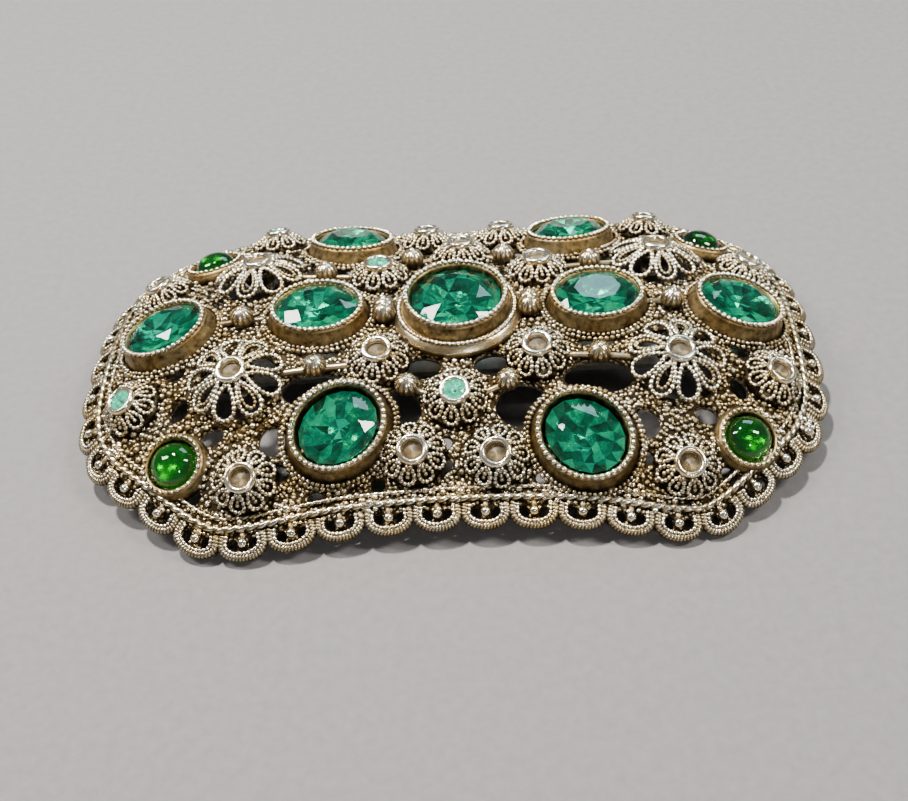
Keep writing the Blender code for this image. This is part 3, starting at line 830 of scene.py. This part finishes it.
def bank(shape, x, y, turn, a, b):
    """Two uneven rows of grains against the foot of a setting."""
    stand = Stand(x, y, turn)
    ups = np.broadcast_to(stand.up, (160, 3))
    for grow, lift, radius in ((1.50, 0.20, 0.42), (1.12, 0.62, 0.36)):
        foot = ellipse(stand, a + grow, b + grow, 0.0, 160)
        path, _, far = resample(on_dome(foot[:, :2], lift)[0], ups, 160, True)
        grains = round(far / (1.9 * radius))
        path, _, _ = resample(path, ups, grains, True)
        for spot in path:
            size = radius * rng.uniform(0.8, 1.15)
            spot = spot + stand.up * rng.uniform(-0.12, 0.12)
            ball(shape, spot, size, stand.up, 4, 7, rng.uniform(0.25, 0.8))


def centre_setting(shape):
    """The round setting with a stepped collar and a ring of beads outside it."""
    setting(shape, CENTRE_X, 0, 0, 7.0, 7.0, top=3.6, flare=0.5, beads=56, bead_radius=0.42)
    stand = Stand(CENTRE_X, 0)
    profile = [(7.3, 1.35), (7.9, 1.35), (8.6, 1.15), (8.8, 0.8), (9.25, 0.5), (9.3, 0.2),
               (9.3, -0.3), (7.3, -0.3)]
    # The collar's crests are set lighter and its steps and foot darker: partly wear, partly painted
    # highlight and painted shade.
    lathe(shape, stand, profile, 72, [0.1, 0.2, 0.7, 0.35, 0.6, 0.3, 0.1, 0.1])
    line = ellipse(stand, 8.25, 8.25, 1.35, 200)
    beaded(shape, line, np.broadcast_to(stand.up, (200, 3)), 0.40, 0.62, True, 8)


def cut_stone(shape, stand, a, b, girdle, crown, pavilion):
    """A stone with a table, star, kite and girdle facets over a foiled pavilion."""
    table, half_girdle = 0.56, 0.12

    def ring(count, offset, share, z):
        spin = (np.arange(count) + offset) / count * math.tau
        return stand.place(a * share * np.cos(spin), b * share * np.sin(spin), girdle + z)

    points = np.concatenate([
        ring(8, 0, table, crown),
        ring(8, 0.5, 0.80, crown * 0.60),
        ring(16, 0, 1.0, half_girdle),
        ring(16, 0, 1.0, -half_girdle),
        ring(16, 0.5, 0.66, -pavilion * 0.42),
        ring(8, 0.5, 0.30, -pavilion * 0.80),
        stand.place(0.0, 0.0, girdle - pavilion).reshape(1, 3),
    ])
    top, star, upper, lower, belly, heel, tip = 0, 8, 16, 32, 48, 64, 72
    crown_faces, back_faces = [[top + k for k in range(8)]], []
    for k in range(8):
        after, before = (k + 1) % 8, (k - 1) % 8
        e0, e1, e2 = 2 * k, 2 * k + 1, (2 * k + 2) % 16
        crown_faces.append([top + k, star + k, top + after])
        crown_faces.append([top + k, star + before, upper + e0, star + k])
        crown_faces.append([star + k, upper + e0, upper + e1])
        crown_faces.append([star + k, upper + e1, upper + e2])
        back_faces.append([belly + e0, heel + k, belly + e1])
        back_faces.append([heel + k, heel + after, belly + e1])
        back_faces.append([heel + after, belly + e2, belly + e1])
        back_faces.append([heel + k, tip, heel + after])
    for k in range(16):
        after = (k + 1) % 16
        crown_faces.append([upper + k, lower + k, lower + after, upper + after])
        back_faces.append([lower + k, belly + k, lower + after])
        back_faces.append([lower + after, belly + k, belly + after])
    shape.add(points, crown_faces, 1.0, 0)
    shape.faces += [[i + shape.count - len(points) for i in face] for face in back_faces]
    shape.kinds += [1] * len(back_faces)


def cabochon(shape, stand):
    """A round dome of glass on a flat foiled back."""
    sides, steps = 40, 12
    tilt = np.linspace(0, math.pi / 2, steps + 1)[1:]
    spin = np.arange(sides) / sides * math.tau
    r, z = 3.25 * np.sin(tilt)[:, None], 0.2 + 2.6 * np.cos(tilt)[:, None]
    points = stand.place(r * np.cos(spin), r * np.sin(spin), z * np.ones(sides))
    faces = grid_faces(steps, sides, False, True)
    top = steps * sides
    last = (steps - 1) * sides
    points = np.vstack([points.reshape(-1, 3), stand.place(0.0, 0.0, 2.8).reshape(1, 3)])
    faces += [[top, k, (k + 1) % sides] for k in range(sides)]
    shape.add(points, faces, 1.0, 0)
    base = shape.count - len(points)
    shape.faces.append([base + last + k for k in reversed(range(sides))])
    shape.kinds.append(1)


# ---------------------------------------------------------------- balls, links, granules


def fluted_ball(shape, x, y):
    """A melon-shaped bead with a small boss on top."""
    radius, flutes = 1.7, 12
    stand = Stand(x, y)
    sides, rings = flutes * 4, 12
    tilt = np.linspace(0.12, math.pi * 0.72, rings)[:, None]
    spin = np.arange(sides) / sides * math.tau
    ridge = np.abs(np.cos(spin * flutes / 2))[None]
    full = radius * (1 - 0.13 * (1 - ridge) * np.sin(tilt))
    height = radius * 0.70 + radius * 0.92 * np.cos(tilt) * np.ones(sides)
    points = stand.place(full * np.sin(tilt) * np.cos(spin), full * np.sin(tilt) * np.sin(spin), height)
    faces = grid_faces(rings, sides, False, True) + [list(range(sides))[::-1]]
    faces.append([(rings - 1) * sides + k for k in range(sides)])
    # Ridges and the top are set lighter, flutes and the lower side darker: partly wear, partly painted
    # highlight and painted shade.
    shape.add(points, faces, 0.15 + 0.75 * ridge * np.clip(0.25 + np.cos(tilt), 0, 1))
    ball(shape, stand.place(0.0, 0.0, radius * 1.46).reshape(3), 0.52, stand.up, 6, 10)


def link(shape, start, end):
    """A short bar between a ball and its neighbour."""
    radius, count, sides = 0.52, 8, 8
    steps = np.linspace(0, 1, count)[:, None]
    line = np.array(start) * (1 - steps) + np.array(end) * steps
    points, ups = on_dome(line, 0.25)
    path, up, _ = resample(points, ups, count, False)
    # The bar is set lighter on its top side: partly wear, partly painted highlight.
    worn = np.clip(np.sin(np.arange(sides) / sides * math.tau), 0, 1) * 0.30 + 0.15
    tube(shape, path, up, radius, sides, False, worn)


def rosette(shape, x, y):
    """A grain with seven smaller ones round it."""
    stand = Stand(x, y)
    ball(shape, stand.place(0.0, 0.0, 0.45).reshape(3), 0.62, stand.up, 6, 10)
    for k in range(7):
        spin = k * math.tau / 7
        spot = stand.place(1.05 * math.cos(spin), 1.05 * math.sin(spin), 0.2).reshape(3)
        ball(shape, spot, 0.42, stand.up, 5, 8)


def granules(shape, clear):
    """Small grains over the bare metal between the ornaments, large ones first."""
    tries = rng.uniform((-53, -31), (52, 31), (26000, 2))
    field = ground_distance(tries[:, 0], tries[:, 1], border_field)
    x, y = tries.T
    free = field < -0.30
    for cx, cy, a, b, t in clear:
        u = ((x - cx) * math.cos(t) + (y - cy) * math.sin(t)) / a
        v = ((y - cy) * math.cos(t) - (x - cx) * math.sin(t)) / b
        free &= u * u + v * v > 1
    tries, field = tries[free], field[free]
    placed = np.zeros((0, 3))
    for k, ((px, py), room) in enumerate(zip(tries, field)):
        radius = 0.50 if k < len(tries) * 0.1 and room < -0.5 else rng.uniform(0.24, 0.38)
        near = np.hypot(placed[:, 0] - px, placed[:, 1] - py) - placed[:, 2] < radius * 0.55
        if near.any():
            continue
        placed = np.vstack([placed, (px, py, radius)])
    for px, py, radius in placed:
        centre, up = on_dome((px, py), rng.uniform(-0.1, 0.45) * radius)
        ball(shape, centre, radius, up, 4, 7, rng.uniform(0.25, 0.95))


# ---------------------------------------------------------------- stage


def camera():
    """The photo's view, from in front and above, with its roll."""
    target, distance = Vector((0.0083, -0.0184, DOME_TOP * MM)), 0.1587
    elevation, azimuth, roll = math.radians(44.77), math.radians(0.76), math.radians(-3.33)
    back = Vector((math.sin(azimuth) * math.cos(elevation), -math.cos(azimuth) * math.cos(elevation),
                   math.sin(elevation)))
    right = Vector((math.cos(azimuth), math.sin(azimuth), 0))
    up = back.cross(right)
    across = right * math.cos(roll) + up * math.sin(roll)
    upward = up * math.cos(roll) - right * math.sin(roll)
    placing = Matrix((across, upward, back)).transposed().to_4x4()
    placing.translation = target + back * distance
    data = bpy.data.cameras.new("camera")
    data.sensor_width = 36
    data.lens = 47.58
    data.shift_x = -0.0606
    data.clip_start = 0.005
    made = bpy.data.objects.new("camera", data)
    made.matrix_world = placing
    bpy.context.scene.collection.objects.link(made)
    bpy.context.scene.camera = made


def light(name, where, size, power, colour):
    """An area light that faces a point just over the floor's middle."""
    data = bpy.data.lights.new(name, "AREA")
    data.shape = "RECTANGLE"
    data.size, data.size_y = size
    data.energy = power
    data.color = colour
    made = bpy.data.objects.new(name, data)
    made.location = where
    facing = Vector((0, 0, 0.01)) - Vector(where)
    made.rotation_euler = facing.to_track_quat("-Z", "Y").to_euler()
    bpy.context.scene.collection.objects.link(made)


def studio():
    """A sheet of paper, a dim cool sky and five area lights."""
    mesh = bpy.data.meshes.new("floor")
    half = 3.0
    corners = [(-half, -half, 0), (half, -half, 0), (half, half, 0), (-half, half, 0)]
    mesh.from_pydata(corners, [], [(0, 1, 2, 3)])
    floor = bpy.data.objects.new("floor", mesh)
    bpy.context.scene.collection.objects.link(floor)
    made, nodes, links, shader = new_material("floor_paper")
    grain = noise(nodes, links, 700.0, 5.0)
    tone = ramp(nodes, [(0.3, (0.138, 0.133, 0.133)), (0.7, (0.163, 0.158, 0.158))])
    links.new(grain.outputs["Fac"], tone.inputs["Fac"])
    links.new(tone.outputs["Color"], shader.inputs["Base Color"])
    shader.inputs["Roughness"].default_value = 0.85
    mesh.materials.append(made)
    world = bpy.data.worlds.new("studio")
    world.use_nodes = True
    world.node_tree.nodes["Background"].inputs["Color"].default_value = (0.75, 0.82, 0.92, 1)
    world.node_tree.nodes["Background"].inputs["Strength"].default_value = 0.22
    bpy.context.scene.world = world
    light("window", (0.17, 0.44, 0.40), (0.30, 0.20), 1.3, (0.55, 0.85, 1.0))
    light("lamp", (-0.12, 0.16, 0.52), (0.05, 0.05), 8.8, (1.0, 0.95, 0.87))
    light("side", (-0.38, 0.08, 0.43), (0.08, 0.22), 3.3, (1.0, 0.97, 0.93))
    light("other_side", (0.38, 0.0, 0.43), (0.08, 0.20), 3.2, (1.0, 0.95, 0.88))
    light("front", (0.16, -0.46, 0.30), (0.05, 0.05), 0.9, (1.0, 0.96, 0.90))


# ---------------------------------------------------------------- the piece


def metals():
    """The ornament's metals: the same tarnish and gilding, with different tones for wear and painted
    shade.
    """
    dark, middle, bright = (0.018, 0.013, 0.007), (0.30, 0.24, 0.14), (0.92, 0.86, 0.71)
    return {
        "ground": antique_metal("ground_metal", dark, middle, bright, gold=0.8, shine=0.22, grainy=True),
        "plate": antique_metal("plate_metal", dark, middle, bright, gold=0.7),
        "bezel": antique_metal("bezel_metal", (0.026, 0.018, 0.007), (0.33, 0.245, 0.12),
                               (0.90, 0.85, 0.73), gold=0.8),
        "flower": antique_metal("flower_metal", (0.015, 0.011, 0.007), (0.31, 0.255, 0.155),
                                (0.93, 0.87, 0.73), gold=0.6),
        "cup": antique_metal("cup_metal", (0.10, 0.085, 0.06), (0.33, 0.29, 0.22),
                             (0.50, 0.45, 0.36), gold=0.3, shine=0.42),
    }


def place_details(details, blooms):
    """Balls, rosettes, links and grains over the plate."""
    clear = [(x, y, 7.6, 6.7, math.radians(turn)) for x, y, turn in OVALS.values()]
    clear += [(CENTRE_X, 0, 9.0, 9.0, 0)]
    clear += [(x, y, size["radius"] - 0.5, size["radius"] - 0.5, 0) for x, y, size in blooms.values()]
    clear += [(x, y, 4.5, 4.5, 0) for x, y in CABOCHONS.values()]
    clear += [(x, y, 1.8, 1.8, 0) for x, y in mirrored(BALLS)]
    for x, y in mirrored(BALLS):
        fluted_ball(details, x, y)
    for x, y in mirrored(ROSETTES):
        rosette(details, x, y)
    for ends in LINKS:
        for sx in (1, -1):
            for sy in (1, -1):
                link(details, *[(CENTRE_X + x * sx, y * sy) for x, y in ends])
    granules(details, clear)


def main():
    metal = metals()
    crown_glass = glass("emerald_crown", (0.07, 0.96, 0.74))
    # The foils' glow strengths, given after the scale, are painted light that lifts the stones.
    emerald_foil = foil("emerald_foil", (0.0, 0.040, 0.024), (0.0, 0.74, 0.46), 700.0, 0.28)
    emerald = [crown_glass, emerald_foil]
    cab_glass = glass("cabochon_glass", (0.16, 0.88, 0.14))
    cab_foil = foil("cabochon_foil", (0.006, 0.13, 0.012), (0.02, 0.42, 0.03), 220.0, 0.14, 0.3)
    # Painted shade: the back cabochons are the same stones as the front ones, given a darker foil with
    # less glow as if turned from the light.
    shade_dark, shade_light = (0.001, 0.030, 0.006), (0.008, 0.16, 0.025)
    shaded_foil = foil("cabochon_foil_shaded", shade_dark, shade_light, 220.0, 0.04, 0.3)
    chaton_glass = glass("chaton_crown", (0.48, 0.98, 0.83))
    chaton_foil = foil("chaton_foil", (0.03, 0.50, 0.33), (0.26, 1.0, 0.76), 1500.0, 0.72)
    chaton = [chaton_glass, chaton_foil]
    steel = plated_steel("clip_steel")

    plate = ground()
    top_and_under = [metal["ground"], metal["plate"]]
    plate.build("plate_ground", top_and_under, "plate_metal", replaces=["ornament_plate"])
    edge = Shape()
    border(edge)
    edge.build("plate_border", [metal["plate"]], "plate_metal")
    inner_edge = Shape()
    ropes(inner_edge)
    inner_edge.build("plate_ropes", [metal["plate"]], "plate_metal")

    blooms = {name: (*place, FLOWER_LARGE) for name, place in BIG_FLOWERS.items()}
    blooms |= {name: (*place, FLOWER_SMALL) for name, place in SMALL_FLOWERS.items()}
    details = Shape()
    place_details(details, blooms)

    for name, (x, y, degrees) in OVALS.items():
        turn = math.radians(degrees)
        a, b = CORNER_SETTING if degrees else ROW_SETTING
        ring = Shape()
        setting(ring, x, y, turn, a, b, top=2.35, flare=0.7, beads=46, bead_radius=0.42)
        bank(details, x, y, turn, a + 0.3, b + 0.3)
        ring.build(f"setting_{name}", [metal["bezel"]], "bezel_metal", replaces=[f"bezel_{name}"])
        stone = Shape()
        half_long, half_wide, girdle = SUNK_STONE if name.startswith("front") else RAISED_STONE
        cut_stone(stone, Stand(x, y, turn), half_long, half_wide, girdle, crown=1.40, pavilion=2.4)
        stone.build(f"gem_{name}", emerald, "emerald_glass", replaces=[f"stone_{name}"], smooth=False)
    details.build("plate_details", [metal["plate"]], "plate_metal")

    ring = Shape()
    centre_setting(ring)
    ring.build("setting_centre", [metal["bezel"]], "bezel_metal", replaces=["bezel_centre"])
    stone = Shape()
    cut_stone(stone, Stand(CENTRE_X, 0, 0.2), 6.4, 6.4, girdle=2.6, crown=1.7, pavilion=3.0)
    stone.build("gem_centre", emerald, "emerald_glass", replaces=["stone_centre"], smooth=False)

    for name, (x, y) in CABOCHONS.items():
        ring = Shape()
        setting(ring, x, y, 0, 3.95, 3.95, top=1.15, flare=0.4, beads=30, bead_radius=0.30)
        replaced = f"cabochon_bezel_{name}"
        ring.build(f"cabochon_setting_{name}", [metal["bezel"]], "bezel_metal", replaces=[replaced])
        stone = Shape()
        cabochon(stone, Stand(x, y))
        # The back ones take the darker foil: painted shade.
        green = [cab_glass, shaded_foil if name.startswith("back") else cab_foil]
        replaced = f"cabochon_{name}"
        stone.build(f"cabochon_dome_{name}", green, "cabochon_glass", replaces=[replaced])

    for index, (name, (x, y, size)) in enumerate(blooms.items()):
        bloom = Shape()
        flower(bloom, x, y, size, size is FLOWER_LARGE, name not in CHATON_FLOWERS, 0.35 * index)
        petals = [metal["flower"], metal["cup"]]
        bloom.build(f"bloom_{name}", petals, "flower_metal", replaces=[f"flower_{name}"])
    for name in CHATON_FLOWERS:
        x, y = SMALL_FLOWERS[name]
        stone = Shape()
        girdle = FLOWER_SMALL["height"] - 0.25
        cut_stone(stone, Stand(x, y, 0.3), 1.5, 1.5, girdle, crown=0.5, pavilion=0.75)
        stone.build(f"spark_{name}", chaton, "chaton_glass", replaces=[f"chaton_{name}"], smooth=False)

    for name in CLIP:
        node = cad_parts[name]
        node.data.materials.clear()
        node.data.materials.append(steel)


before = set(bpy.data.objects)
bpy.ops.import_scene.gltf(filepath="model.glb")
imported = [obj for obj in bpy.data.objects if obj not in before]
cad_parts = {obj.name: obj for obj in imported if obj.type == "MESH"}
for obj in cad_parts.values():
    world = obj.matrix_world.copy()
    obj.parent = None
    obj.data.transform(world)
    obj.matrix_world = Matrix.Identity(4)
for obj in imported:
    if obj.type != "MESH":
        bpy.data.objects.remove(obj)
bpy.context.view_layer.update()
camera()
studio()
main()
